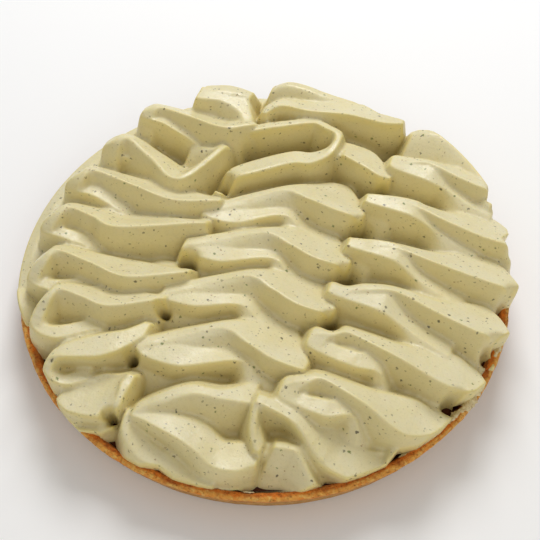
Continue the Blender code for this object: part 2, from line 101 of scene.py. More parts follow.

# Where the crust changes, in metres: outwards to the painted highlight on its outer
# edge, inwards to its brown lip, up to that highlight and up from the side to the
# top; and how far and how often, in waves per metre, these borders waver
EDGE_HIGHLIGHT_OUT = ((RIM_RADIUS - 2.6) * MM, (RIM_RADIUS - 1.7) * MM)
LIP_IN = ((RIM_RADIUS - 3.2) * MM, (RIM_RADIUS - 4.6) * MM)
EDGE_HIGHLIGHT_UP = (0.0138, 0.0158)
TOP_UP = (0.0115, 0.0155)
WAVER = 0.004
WAVER_SCALE = 120.0


def shell_radius(z):
    return RIM_RADIUS - (SHELL_HEIGHT - z) * tan(SIDE_FLARE)


def smooth_noise(shape, cells, seed, wrap=False):
    """Soft random values from -1 to 1 on a grid, bent from a coarse one."""
    rng = np.random.default_rng(seed)
    coarse = rng.uniform(-1.0, 1.0, (cells[0] + (0 if wrap else 3), cells[1] + 3))
    u = np.arange(shape[0]) / shape[0] * cells[0]
    v = np.arange(shape[1]) / shape[1] * cells[1]
    i, j = u.astype(int), v.astype(int)
    fu, fv = u - i, v - j
    fu, fv = fu * fu * (3 - 2 * fu), fv * fv * (3 - 2 * fv)
    i1 = (i + 1) % cells[0] if wrap else i + 1
    low = coarse[i][:, j] * (1 - fu)[:, None] + coarse[i1][:, j] * fu[:, None]
    high = coarse[i][:, j + 1] * (1 - fu)[:, None] + coarse[i1][:, j + 1] * fu[:, None]
    return low * (1 - fv) + high * fv


def quads(number):
    """Corners of the faces between the numbered points of a grid."""
    return np.stack([number[:-1, :-1], number[1:, :-1], number[1:, 1:], number[:-1, 1:]], -1)


def smooth_mesh(name, points, faces):
    mesh = bpy.data.meshes.new(name)
    mesh.from_pydata(points, [], faces)
    mesh.polygons.foreach_set("use_smooth", [True] * len(mesh.polygons))
    mesh.update()
    return mesh


def turned(r, z):
    """Points round a ring from the radius and height of each, a row per turn."""
    angle = (np.arange(len(r)) / len(r) * 2 * pi)[:, None]
    return np.stack([r * np.cos(angle), r * np.sin(angle), z], -1) * MM


def ring_mesh(name, points):
    """Mesh over rows of points that run round a ring and close on themselves."""
    number = np.arange(points.shape[0] * points.shape[1]).reshape(points.shape[:2])
    number = np.vstack([number, number[:1]])
    return smooth_mesh(name, points.reshape(-1, 3).tolist(), quads(number).reshape(-1, 4).tolist())


def place(name, mesh, material):
    piece = bpy.data.objects.new(name, mesh)
    bpy.context.scene.collection.objects.link(piece)
    mesh.materials.append(material)
    return piece


def shell_profile():
    """Cross-section of the case in short steps: along the underside, up the
    flared side, over the rounded rim, down the inside and back along the floor."""
    underside = [(0.5, 0.0), (60.0, 0.0), (shell_radius(0) - 2.2, 0.0), (shell_radius(0) - 0.7, 0.3)]
    side = [(shell_radius(1.2), 1.2), (shell_radius(6.0), 6.0), (shell_radius(11.0), 11.0),
            (shell_radius(15.0) - 0.1, 15.0), (shell_radius(16.6) - 0.2, 16.6)]
    rim = [(RIM_RADIUS - 1.1, 17.5), (RIM_RADIUS - 2.1, 17.95), (RIM_RADIUS - 3.3, 17.85),
           (RIM_RADIUS - WALL + 0.3, 17.3), (RIM_RADIUS - WALL - 0.25, 16.2)]
    inside = [(shell_radius(12.0) - WALL, 12.0), (shell_radius(6.0) - WALL, 6.0),
              (shell_radius(FLOOR) - WALL - 1.0, FLOOR), (60.0, FLOOR), (0.5, FLOOR)]
    corners = underside + side + rim + inside
    profile = []
    for (r0, z0), (r1, z1) in zip(corners, corners[1:]):
        length = np.hypot(r1 - r0, z1 - z0)
        step = WALL_STEP if r0 > WALL_START and z0 + z1 > 0 else FLOOR_STEP
        count = max(1, int(length / step))
        for t in np.arange(count) / count:
            profile.append((r0 + (r1 - r0) * t, z0 + (z1 - z0) * t))
    profile.append(corners[-1])
    return np.array(profile)


def shell_points():
    """The cross-section run round the ring, with baked bumps on it, chips along
    the top of the rim and a slow rise and fall of its height."""
    profile = shell_profile()
    slope = np.gradient(profile, axis=0)
    out = np.stack([slope[:, 1], -slope[:, 0]], -1)
    out /= np.linalg.norm(out, axis=1, keepdims=True)
    shape = (SHELL_TURNS, len(profile))
    bumps = sum(height * smooth_noise(shape, cells, seed, True) for height, cells, seed in BAKED_BUMPS)
    rough = np.clip((profile[:, 0] - BUMPS_START) / BUMPS_GROW, 0, 1)
    rough = rough * np.clip(profile[:, 1] / BUMPS_UP, BUMPS_LEAST, 1)
    crest = np.exp(-((profile[:, 1] - CREST_HEIGHT) / CREST_SPREAD) ** 2) * (profile[:, 0] > CREST_INSIDE)
    chips = np.clip(smooth_noise(shape, *CHIPS, True) - CHIP_RARE, 0, 1)
    bumps = bumps * rough - CHIP_DEPTH * chips * crest
    r = profile[:, 0] + bumps * out[:, 0]
    z = profile[:, 1] + bumps * out[:, 1]
    z = z + RIM_WANDER * smooth_noise(shape, *WANDER, True) * crest
    return turned(r, np.maximum(z, 0.0))


def node(tree, kind, **settings):
    """New node: its operation or feature is a setting, all else an input."""
    made = tree.nodes.new(kind)
    for name, value in settings.items():
        if name in ("operation", "feature"):
            setattr(made, name, value)
        else:
            made.inputs[name].default_value = value
    return made


def new_material(name, roughness):
    material = bpy.data.materials.new(name)
    material.use_nodes = True
    shader = material.node_tree.nodes["Principled BSDF"]
    shader.inputs["Roughness"].default_value = roughness
    return material, material.node_tree, shader


def noise(tree, scale, detail, roughness):
    """Noise in the piece's own space; scale is in waves per metre."""
    where = tree.nodes.new("ShaderNodeTexCoord")
    made = node(tree, "ShaderNodeTexNoise", Scale=scale, Detail=detail, Roughness=roughness)
    tree.links.new(where.outputs["Object"], made.inputs["Vector"])
    return made.outputs["Fac"]


def remap(tree, value, low, high, out_low=0.0, out_high=1.0):
    made = tree.nodes.new("ShaderNodeMapRange")
    made.inputs["From Min"].default_value = low
    made.inputs["From Max"].default_value = high
    made.inputs["To Min"].default_value = out_low
    made.inputs["To Max"].default_value = out_high
    tree.links.new(value, made.inputs["Value"])
    return made.outputs["Result"]


def patchy(tree, scale, detail, roughness, low, high):
    """Patches of noise: none up to its low level, full from its high one."""
    return remap(tree, noise(tree, scale, detail, roughness), low, high)


def blend(tree, factor, first, second):
    """Mix of two colours, each a colour or a socket, by a socket or a number."""
    made = tree.nodes.new("ShaderNodeMix")
    made.data_type = "RGBA"
    factor_in, first_in, second_in = made.inputs[0], made.inputs[6], made.inputs[7]
    for value, socket in ((factor, factor_in), (first, first_in), (second, second_in)):
        if isinstance(value, bpy.types.NodeSocket):
            tree.links.new(value, socket)
        elif socket is factor_in:
            socket.default_value = value
        else:
            socket.default_value = (*value, 1.0)
    return made.outputs[2]


def calc(tree, operation, first, second):
    made = node(tree, "ShaderNodeMath", operation=operation)
    for k, value in enumerate((first, second)):
        if isinstance(value, bpy.types.NodeSocket):
            tree.links.new(value, made.inputs[k])
        else:
            made.inputs[k].default_value = value
    return made.outputs[0]


def tint(tree, tone, colour, mask, amount):
    """The tone with a colour laid over it where the mask is, by this amount."""
    return blend(tree, calc(tree, "MULTIPLY", mask, amount), tone, colour)


def bump(tree, shader, height, depth):
    made = node(tree, "ShaderNodeBump", Distance=depth, Strength=1.0)
    tree.links.new(height, made.inputs["Height"])
    tree.links.new(made.outputs["Normal"], shader.inputs["Normal"])


def baked_pastry():
    """Orange brown on top, duller down the side, with a painted highlight of pale
    and golden grains along the rim's rounded outer edge, and dark baked pits and
    pale flour grains all over."""
    material, tree, shader = new_material("baked_pastry", 0.62)
    where = tree.nodes.new("ShaderNodeTexCoord")
    axes = tree.nodes.new("ShaderNodeSeparateXYZ")
    tree.links.new(where.outputs["Object"], axes.inputs[0])
    flat = tree.nodes.new("ShaderNodeCombineXYZ")
    tree.links.new(axes.outputs["X"], flat.inputs["X"])
    tree.links.new(axes.outputs["Y"], flat.inputs["Y"])
    radius = node(tree, "ShaderNodeVectorMath", operation="LENGTH")
    tree.links.new(flat.outputs[0], radius.inputs[0])

    # places on the case, each with a wavering border
    waver = calc(tree, "SUBTRACT", noise(tree, WAVER_SCALE, 3.0, 0.6), 0.5)
    uneven = calc(tree, "MULTIPLY", waver, WAVER)
    out = calc(tree, "ADD", radius.outputs["Value"], uneven)
    up = calc(tree, "ADD", axes.outputs["Z"], uneven)
    # the edge mask is where the highlight is painted, along the rim's rounded outer edge
    edge = calc(tree, "MULTIPLY", remap(tree, out, *EDGE_HIGHLIGHT_OUT), remap(tree, up, *EDGE_HIGHLIGHT_UP))
    top = remap(tree, up, *TOP_UP)
    lip = remap(tree, out, *LIP_IN)

    # marks of the baking and the painted glints on the edge, from broad to fine
    patches = calc(tree, "MAXIMUM", patchy(tree, *PATCHES), calc(tree, "MULTIPLY", lip, 0.8))
    grains = patchy(tree, *GRAINS)
    glints = calc(tree, "MULTIPLY", edge, patchy(tree, *EDGE_GLINTS))
    pits = patchy(tree, *PITS)
    flour = patchy(tree, *FLOUR)

    tone = blend(tree, patches, CRUST_TAN, CRUST_BROWN)
    tone = tint(tree, tone, CRUST_PALE_AND_HIGHLIGHT, grains, 0.30)
    # painted highlight: pale and grainy along the outer edge, then painted golden glints there
    tone = tint(tree, tone, CRUST_PALE_AND_HIGHLIGHT, edge, remap(tree, grains, 0.0, 1.0, 0.35, 1.0))
    tone = tint(tree, tone, CRUST_GLINT, glints, 0.7)
    side = tint(tree, CRUST_SIDE, CRUST_LOW, patches, 0.6)
    side = tint(tree, side, CRUST_PALE_AND_HIGHLIGHT, grains, 0.3)
    tone = blend(tree, top, side, tone)
    tone = tint(tree, tone, CRUST_DARK, pits, 0.5)
    tone = tint(tree, tone, CRUST_PALE_AND_HIGHLIGHT, flour, 0.12)
    tree.links.new(tone, shader.inputs["Base Color"])
    tree.links.new(remap(tree, grains, 0.0, 1.0, 0.70, 0.48), shader.inputs["Roughness"])
    shader.inputs["Specular IOR Level"].default_value = 0.25
    height = calc(tree, "ADD", calc(tree, "MULTIPLY", grains, 0.8), calc(tree, "MULTIPLY", flour, 0.4))
    height = calc(tree, "SUBTRACT", height, calc(tree, "MULTIPLY", pits, 0.6))
    bump(tree, shader, height, 0.0008)
    return material


shell = place("baked_shell", ring_mesh("baked_shell", shell_points()), baked_pastry())
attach(shell, "root")
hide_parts("pastry_shell")


# Chocolate filling
# Dark chocolate poured into the baked case and set just under its rim. It has
# a flat, faintly glossy top, drawn up a little where it meets the pastry.

FILLING_TOP = SHELL_HEIGHT - 4.0
FILLING_TURNS = 360

# How far the top ripples, with the number of ripples round and across and their
# seed; how far from the wall it starts to rise and over what width, how high it
# is drawn up and how much that varies, with the same for that
RIPPLE = 0.12
RIPPLES = ((30, 10), 21)
DRAWN_FROM = 1.6
DRAWN_WIDTH = 1.8
DRAWN_UP = 0.9
DRAWN_VARIES = 0.5
DRAWN_WAVES = ((44, 1), 22)

# Colours of the chocolate, fresh and dry, and its dry patches and ripples
CHOCOLATE = (0.055, 0.0110, 0.0045)
CHOCOLATE_DRY = (0.085, 0.022, 0.009)
DRY_PATCHES = (90.0, 4.0, 0.6, 0.45, 0.75)
FINE_RIPPLES = (260.0, 3.0, 0.5)


def filling_points():
    """Rings from the middle out to the wall, closer together where the edge is
    drawn up, then down the wall and back in under the top."""
    edge = shell_radius(FILLING_TOP) - WALL
    radii = np.concatenate([[0.5], np.linspace(6.0, 92.0, 18), np.linspace(93.0, edge + 0.25, 26)])
    shape = (FILLING_TURNS, len(radii))
    z = FILLING_TOP + RIPPLE * smooth_noise(shape, *RIPPLES, True)
    drawn = np.clip((radii - edge + DRAWN_FROM) / DRAWN_WIDTH, 0, 1) ** 2
    z = z + drawn * (DRAWN_UP + DRAWN_VARIES * smooth_noise(shape, *DRAWN_WAVES, True))
    foot = shell_radius(FLOOR) - WALL
    under = [(foot - 0.3, FLOOR + 2.0), (foot - 2.0, FLOOR + 0.3), (0.5, FLOOR + 0.3)]
    top = np.stack([np.broadcast_to(radii, shape), z], -1)
    ring = np.concatenate([top, np.broadcast_to(np.array(under), (FILLING_TURNS, len(under), 2))], 1)
    return turned(ring[..., 0], ring[..., 1])[:, ::-1]


def set_chocolate():
    """Dark and faintly glossy, with duller, paler patches where it has dried."""
    material, tree, shader = new_material("dark_chocolate", 0.25)
    dry = patchy(tree, *DRY_PATCHES)
    tree.links.new(blend(tree, dry, CHOCOLATE, CHOCOLATE_DRY), shader.inputs["Base Color"])
    tree.links.new(remap(tree, dry, 0.0, 1.0, 0.34, 0.55), shader.inputs["Roughness"])
    shader.inputs["Specular IOR Level"].default_value = 0.15
    bump(tree, shader, noise(tree, *FINE_RIPPLES), 0.0004)
    return material


filling = place("chocolate_filling_top", ring_mesh("chocolate_filling_top", filling_points()),
                set_chocolate())
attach(filling, "root")
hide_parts("chocolate_filling")


# Piped pistachio cream
# Whipped pistachio cream piped with a flat slotted tip in three columns, each
# one ribbon folded back and forth, laid on the chocolate. The cut edges of the
# ribbon stand up as sharp crests, and ground nuts speck it.

# Spacing of the cream's mesh and half its width, in millimetres
CREAM_CELL = 0.5
CREAM_SPAN = 114.0

# Height of the crests over the rim, and how far walls, backs and ends run
# sideways for each mm down
CREST = 21.0
STEEP = 0.20
BACK_RUN = 0.45
SIDE_RUN = 0.22

# Half width and roundness of a ribbon's edge, and of the creases between folds
RIBBON_HALF = 1.4
SHARP = 0.35
CREASE_RADIUS = 1.5

# How far the cream leans for each mm up: to the right, to the back, outwards
LEAN_X = 0.12
LEAN_Y = -0.25
LEAN_OUT = 0.12

# Where the middle of the piping lies, and the level where there is no cream
CREAM_OFFSET = (-1.6, 1.4)
LOWEST = -8.0

# How low the cream still shows, over the rim and inside it, and how far its
# foot is tucked into the rim
SHOWN_ON_RIM = -1.0
SHOWN_INSIDE = -6.5
FOOT_TUCK = -1.2

# Colours of the cream: flat parts; a deeper colour for clouds, also the painted
# shade in hollows and on walls; painted edge light on crests; painted shade in
# creases; and grain
CREAM_LIGHT = (0.745, 0.68, 0.44)
CREAM_DEEP_AND_SHADE = (0.72, 0.615, 0.275)
CREAM_CREST_GLOW = (0.77, 0.65, 0.25)
CREAM_CREASE_SHADE = (0.50, 0.38, 0.12)
CREAM_GRAIN = (0.52, 0.47, 0.24)

# Marks of the cream: clouds of deeper colour, fine ground nut, damp glossy
# spots and their roughness, and the fine and broad unevenness of its surface
CLOUDS = (60.0, 3.0, 0.5, 0.35, 0.65)
NUT_GRAIN = (900.0, 4.0, 0.7, 0.52, 0.72)
DAMP_SPOTS = (45.0, 3.0, 0.6, 0.42, 0.58)
DAMP_TO_DRY = (0.28, 0.55)
FINE_SURFACE = (1100.0, 4.0, 0.65)
BROAD_SURFACE = (180.0, 3.0, 0.5)

# Ground nuts: colour, how many cells per metre, the largest in cells, the share
# of cells that hold one, where the cells start and how strong they show
SPECK_DARK = (0.075, 0.065, 0.035)
SPECK_GREEN = (0.16, 0.20, 0.05)
SPECK_BROWN = (0.28, 0.15, 0.05)
SPECKS = [(SPECK_BROWN, 600.0, 0.30, 0.30, 3.1, 0.6), (SPECK_DARK, 520.0, 0.34, 0.34, 9.4, 0.45),
          (SPECK_GREEN, 260.0, 0.24, 0.18, 7.7, 0.9), (SPECK_DARK, 420.0, 0.30, 0.26, 0.0, 0.7),
          (SPECK_DARK, 290.0, 0.25, 0.30, 5.3, 0.85)]

# How ragged the nuts are: waves per metre and reach in metres, and how hard
# their edges are
RAG_SCALE = 1100.0
RAG_REACH = 0.0016
SPECK_EDGE = 9.0

# A station of a ribbon: place, height, width and fall of the shelf behind its
# front edge, run of its front wall, how round the edge is and its half width.
Station = namedtuple("Station", "x y z shelf fall run round half", defaults=[RIBBON_HALF])

# One piped wave, in millimetres: where its left turn lies, how far its long
# arm rises behind the turn and where along the arm, how far it reaches to the
# right, where and how far it falls back and hooks up again, how high its right
# end stands, how far the short lower arm bellies forward, reaches and sinks,
# how high that arm and its tip are, how far and steep the top behind it is, and
# whether a hump follows the tip (1) or it sinks away (0).
Wave = namedtuple("Wave", "x y rise crown reach dip fall hook end belly tip sink low tip_z deck pitch tail")

# How the waves of one column are folded: front, roundness and height of the
# left part of the long arm, front of the short arm, front, slope and depth of
# the long arm's back, where the shelves are wide, where the next fold's mouth
# comes out at its end, and how the hump behind a tip lies.
Column = namedtuple("Column", "left_run left_round left_high turn_lift low_run long_run long_fall "
                    "low_at crown_shelf mid_shelf long_shelf end_shelf turn_half mouth hump waves")

LEFT = Column(left_run=0.75, left_round=2.0, left_high=0.85, turn_lift=0.0, low_run=0.35, long_run=0.58,
              long_fall=0.9, low_at=0.45, crown_shelf=4.0, mid_shelf=8.0, long_shelf=13.0, end_shelf=2.0,
              turn_half=2.6, mouth=(-16.0, 6.0, 9.0), hump=(7.0, 1.0, -4.0, 2.0), waves=[
    Wave(-80, 53, 6, 0.16, 53, 0.75, 2, 7, 20, 1, 25, 2, 18, 13, 15, 0.42, 1),
    Wave(-89, 29, 7, 0.20, 54, 0.77, 15, 24, 20, -1, 23, -1, 14, 11, 5.5, 0.05, 0),
    Wave(-95, 3, 10, 0.15, 69, 0.72, 4, 7, 20, 0, 31, 3, 15, 11, 5.5, 0.05, 0),
    Wave(-95, -22, 12, 0.14, 67, 0.50, 3, 15, 20, 1, 26, -1, 15, 10, 5.5, 0.05, 0),
    Wave(-89, -46, 13, 0.14, 64, 0.65, 3, 11, 20, 3, 27, -5, 14, 12, 5.5, 0.05, 0),
    Wave(-78, -64, 13, 0.14, 49, 0.60, 1, 11, 20, 6, 27, -5, 14, 12.5, 5.5, 0.05, 0),
])
MIDDLE = Column(left_run=1.4, left_round=4.0, left_high=0.1, turn_lift=0.0, low_run=0.4, long_run=0.45,
                long_fall=0.62, low_at=0.45, crown_shelf=4.0, mid_shelf=14.0, long_shelf=22.0, end_shelf=5.0,
                turn_half=1.4, mouth=(-16.0, 14.0, 6.0), hump=(9.0, -2.0, -3.0, 4.0), waves=[
    Wave(-31, 7, 25, 0.46, 67, 0.80, 4, 0, 20, -3, 32, -14, 16, 16, 13, 0.06, 1),
    Wave(-32, -12, 19, 0.46, 70, 0.80, 7, 1, 20, 0, 36, -9, 16, 16, 13, 0.06, 1),
    Wave(-31, -39, 22, 0.46, 70, 0.80, 8, 1, 20, -2, 31, -9, 16, 16, 13, 0.06, 1),
    Wave(-30, -66, 21, 0.46, 67, 0.80, 8, 0, 20, 0, 39, -11, 16, 15, 13, 0.06, 1),
])
RIGHT = Column(left_run=0.9, left_round=0.5, left_high=1.0, turn_lift=0.5, low_run=0.38, long_run=0.45,
               long_fall=0.6, low_at=0.65, crown_shelf=3.0, mid_shelf=8.0, long_shelf=17.0, end_shelf=5.0,
               turn_half=3.2, mouth=(-20.0, 12.0, 9.0), hump=(11.0, -2.5, -2.0, 3.0), waves=[
    Wave(39, 63, 5, 0.34, 49, 0.85, 6, 1, 19, 5, 27, 5, 20.3, 17, 9, 0.0, 1),
    Wave(35, 37, 5, 0.28, 68, 0.80, 7, 1, 20, 1, 31, 2, 20.5, 16.5, 9, 0.0, 1),
    Wave(35, 11, 6, 0.25, 73, 0.80, 4, 0, 20, 1, 31, 4, 20.5, 16.5, 9, 0.0, 1),
    Wave(35, -14, 9, 0.34, 75, 0.85, 8, 1, 20, 2, 32, 4, 20, 16.5, 9, 0.0, 1),
    Wave(34, -38, 7, 0.20, 72, 0.80, 8, 5, 13, 6, 29, 4, 18.5, 16.5, 7, 0.0, 0),
    Wave(31, -64, 9, 0.22, 66, 0.76, 9, 12, 8, 5, 28, 0, 18, 16.0, 7, 0.0, 0),
])

# Folds that don't follow the waves: the back row, the loose curl behind the
# middle, the low front lobes and the tail of the last fold.
MIDDLE_EXTRAS = [
    [Station(-27, 91, 17, 3, 0.3, 0.8, 2.5), Station(-18, 94, 20, 3, 0.3, 0.8, 3.0),
     Station(0, 94, 18, 3, 0.3, 1.0, 3.0), Station(20, 95, 16, 3, 0.3, 1.0, 3.0),
     Station(33, 93, 17, 3, 0.3, 0.5, 2.0)],
    [Station(-26, 73, 19, 6, 0.4, STEEP, SHARP), Station(-20, 79, 20.5, 6, 0.4, STEEP, SHARP),
     Station(-6, 80, 21, 8, 0.4, STEEP, SHARP), Station(12, 84, 21, 10, 0.35, STEEP, SHARP),
     Station(28, 85, 20.5, 12, 0.3, STEEP, SHARP), Station(36, 88, 20, 8, 0.3, STEEP, SHARP)],
    [Station(-29, 61, 18, 4, 0.4, STEEP, SHARP), Station(-18, 67, 19, 4, 0.4, STEEP, SHARP),
     Station(-3, 75, 19, 3, 0.4, STEEP, SHARP), Station(6, 73, 20, 3, 0.4, STEEP, SHARP),
     Station(11, 71, 20, 3, 0.4, STEEP, 0.6), Station(12, 65, 20.5, 4, 0.4, STEEP, 0.6),
     Station(10, 57, 20.5, 6, 0.4, STEEP, SHARP), Station(4, 50, 20.5, 8, 0.35, STEEP, SHARP),
     Station(-4, 47, 20.5, 9, 0.35, STEEP, SHARP), Station(-16, 38, 20, 10, 0.35, STEEP, SHARP),
     Station(-27, 30, 19, 8, 0.35, STEEP, SHARP), Station(-30, 25, 17, 5, 0.3, 0.4, SHARP)],
    [Station(33, 68, 10, 4, 0.4, 0.4, 1.0), Station(39, 60, 16, 5, 0.5, STEEP, 1.0),
     Station(38, 54, 19, 8, 0.5, STEEP, SHARP), Station(28, 57, 20, 14, 0.5, STEEP, SHARP),
     Station(18, 61, 19, 12, 0.5, STEEP, SHARP)],
    [Station(20, -72, 16, 10, 0.4, 0.6, 1.0), Station(10, -75, 18, 4, 0.3, 0.7, 1.0),
     Station(-2, -77, 18, 4, 0.3, 0.8, 1.0), Station(-12, -84, 17, 4, 0.3, 0.8, 1.0),
     Station(-20, -91, 14, 4, 0.3, 0.6, 0.6), Station(-14, -93, 15, 5, 0.2, 0.4, SHARP),
     Station(-4, -95, 15, 9, 0.3, 0.35, SHARP), Station(6, -97, 13, 12, 0.3, 0.5, SHARP),
     Station(15, -100, 10, 12, 0.2, 0.55, SHARP), Station(24, -98, 9, 12, 0.1, 0.6, SHARP),
     Station(30, -93, 9, 8, 0.1, 0.7, SHARP)],
    [Station(-23, -92, 12, 3, 0.1, 0.4, 0.6), Station(-22, -97, 10.5, 6, 0.0, 0.45, 0.6),
     Station(-18, -102, 8, 8, 0.0, 0.5, 0.6), Station(-12, -105, 6, 8, 0.0, 0.5, 0.6),
     Station(-4, -105, 5, 6, 0.0, 0.5, 0.6), Station(6, -105, 3, 3, 0.2, 0.5, 0.6),
     Station(16, -104, 1, 3, 0.2, 0.5, 0.6)],
]
LEFT_EXTRAS = [
    [Station(-57, 77, 19, 5, 0.3, 1.2, 4.0), Station(-46, 80, 20, 5, 0.3, 1.2, 4.0),
     Station(-37, 82, 18, 4, 0.3, 1.2, 3.0)],
    [Station(-58, 71, 20, 8, 0.1, 0.5, SHARP), Station(-48, 73, 20, 8, 0.1, 0.6, SHARP),
     Station(-38, 71, 19, 8, 0.1, 0.8, 0.8), Station(-33, 67, 19, 5, 0.2, 0.8, 0.8),
     Station(-31, 62, 20, 5, 0.4, 0.5, SHARP), Station(-38, 57, 21, 6, 0.5, 0.5, SHARP)],
    [Station(-31, -58, 17, 6, 0.1, 0.5, 1.5), Station(-37, -68, 18, 9, 0.05, 0.3, SHARP),
     Station(-44, -74, 18, 11, 0.1, STEEP, SHARP), Station(-52, -77, 17.5, 9, 0.15, STEEP, SHARP),
     Station(-58, -79, 17, 6, 0.2, STEEP, SHARP), Station(-61, -81, 15.5, 4, 0.3, STEEP, SHARP, 1.8),
     Station(-61, -85, 13, 4, 0.3, 0.3, SHARP, 1.8), Station(-57, -87.5, 11.5, 4, 0.3, 0.3, SHARP),
     Station(-52, -86.5, 11, 5, 0.2, 0.3, SHARP), Station(-47, -82, 10.5, 5, 0.2, 0.4, 1.0)],
    [Station(-30, -77, 12, 4, 0.7, STEEP, SHARP, 0.5),
     Station(-29, -81, 15.5, 5, 0.5, STEEP, SHARP), Station(-28, -86, 16, 9, 0.2, STEEP, SHARP),
     Station(-28, -91, 15, 15, 0.0, STEEP, SHARP), Station(-33, -95.5, 12, 19, -0.05, STEEP, SHARP),
     Station(-40, -97, 10.5, 19, -0.08, STEEP, SHARP), Station(-46, -97, 9.5, 13, -0.08, STEEP, SHARP),
     Station(-51, -95, 8.5, 7, -0.05, STEEP, SHARP),
     Station(-53, -97, 6.5, 3, 0.2, STEEP, SHARP, 1.8), Station(-50, -101, 4, 2.5, 0.3, 0.3, SHARP),
     Station(-44, -103, 3, 2.5, 0.3, 0.3, SHARP), Station(-37, -101, 3, 2.5, 0.3, 0.4, SHARP),
     Station(-30, -95, 4.5, 3, 0.3, 0.4, SHARP)],
]
RIGHT_EXTRAS = [
    [Station(25, -73, 20, 4, 0.4, 0.5, SHARP), Station(38, -75, 18.5, 6, 0.4, STEEP, SHARP),
     Station(45, -78, 16, 10, 0.4, STEEP, SHARP), Station(52, -83, 12, 14, 0.2, STEEP, SHARP),
     Station(58, -85, 8, 16, 0.1, STEEP, SHARP), Station(68, -84, 4.5, 14, 0.0, STEEP, SHARP),
     Station(77, -78, 3, 10, -0.1, STEEP, SHARP), Station(79, -70, 5, 6, 0.0, 0.3, 0.6)],
    [Station(24, -74, 19, 4, 0.4, 0.3, SHARP), Station(26, -83, 15, 5, 0.2, 0.3, SHARP),
     Station(30, -89, 12, 5, 0.2, 0.3, SHARP)],
    [Station(37, -85, 12.5, 2, 0.4, 0.9, SHARP), Station(43, -84, 12.5, 2, 0.4, 0.9, SHARP),
     Station(48, -87, 9, 1.5, 0.4, 0.9, SHARP), Station(53, -91, 5, 1.5, 0.4, 0.9, SHARP),
     Station(59, -95, 0.5, 1.5, 0.4, 0.9, SHARP)],
    [Station(43, 88, 14, 3, 0.3, 1.4, 4.0), Station(51, 89, 17.5, 4, 0.3, 1.4, 4.0),
     Station(60, 87, 18.5, 5, 0.3, 1.3, 4.0), Station(70, 80, 18.5, 5, 0.3, 1.3, 4.0),
     Station(80, 71, 18.5, 4, 0.3, 1.3, 4.0), Station(86, 64, 18.5, 3, 0.3, 1.3, 4.0)],
]

# Gaps left dark where the ends of folds don't meet: place and size; and depth
GAPS = [(84, 67, 3.0), (99, 42, 3.5), (104, 15, 4.0), (103, -10, 4.0), (94, -38, 3.0),
        (34, 29, 3.6), (36, 3, 3.8), (37, -21, 3.3), (-27, 59, 2.8), (-31, 33, 3.4), (-30, -11, 3.0),
        (-30, -38, 1.8), (-33, -63, 1.8), (-31, -90, 2.0), (37, 55, 2.0)]
GAP_DEPTH = 20.0

# A bulge of cream over the rim at the left: place, height and size
BULGE = (-93.0, -52.0, 6.0, 11.0)

# The skirt over the rim at the left and back: least height, rise inwards and
# greatest height; and its width
SKIRT = (0.6, 0.4, 2.2)
SKIRT_WIDTH = 12.0

# How far out the cream reaches round the tart: direction in degrees and radius;
# and how far its edge runs inwards for each mm up
REACH = [(-180, 107.9), (-155, 107.9), (-149, 106.5), (-143, 104.5), (-132, 104.0), (-124, 105.0),
         (-121, 106.8), (-114, 106.8), (-110, 103.0), (-106, 104.8), (-98, 105.0), (-94, 102.5),
         (-90, 104.6), (-80, 104.4), (-76, 102.5), (-72, 104.2), (-62, 104.4), (-58, 103.0),
         (-54, 104.0), (-43, 104.0), (-39, 101.0), (-35, 104.0), (-28, 104.6), (-24, 104.0),
         (-20.5, 100.5), (-17, 104.5), (-12, 106.5), (-6, 106.5), (-3, 102.0), (0, 106.5), (3, 108.2),
         (6, 107.0), (8.5, 102.5), (11, 107.0), (14, 108.2), (22, 108.2), (24, 106.5), (26, 102.5),
         (28, 107.0), (31, 108.2), (37, 107.5), (39, 104.0), (41, 107.5), (64, 108.2), (70, 104.0),
         (78, 101.0), (84, 103.5), (100, 106.5), (112, 107.9), (180, 107.9)]
EDGE_RUN = 0.13

# How the tip of a short arm without a hump behind it sinks away: to the right,
# back, down and how round
TIP_FADE = (5.0, -1.0, -7.0, 3.0)


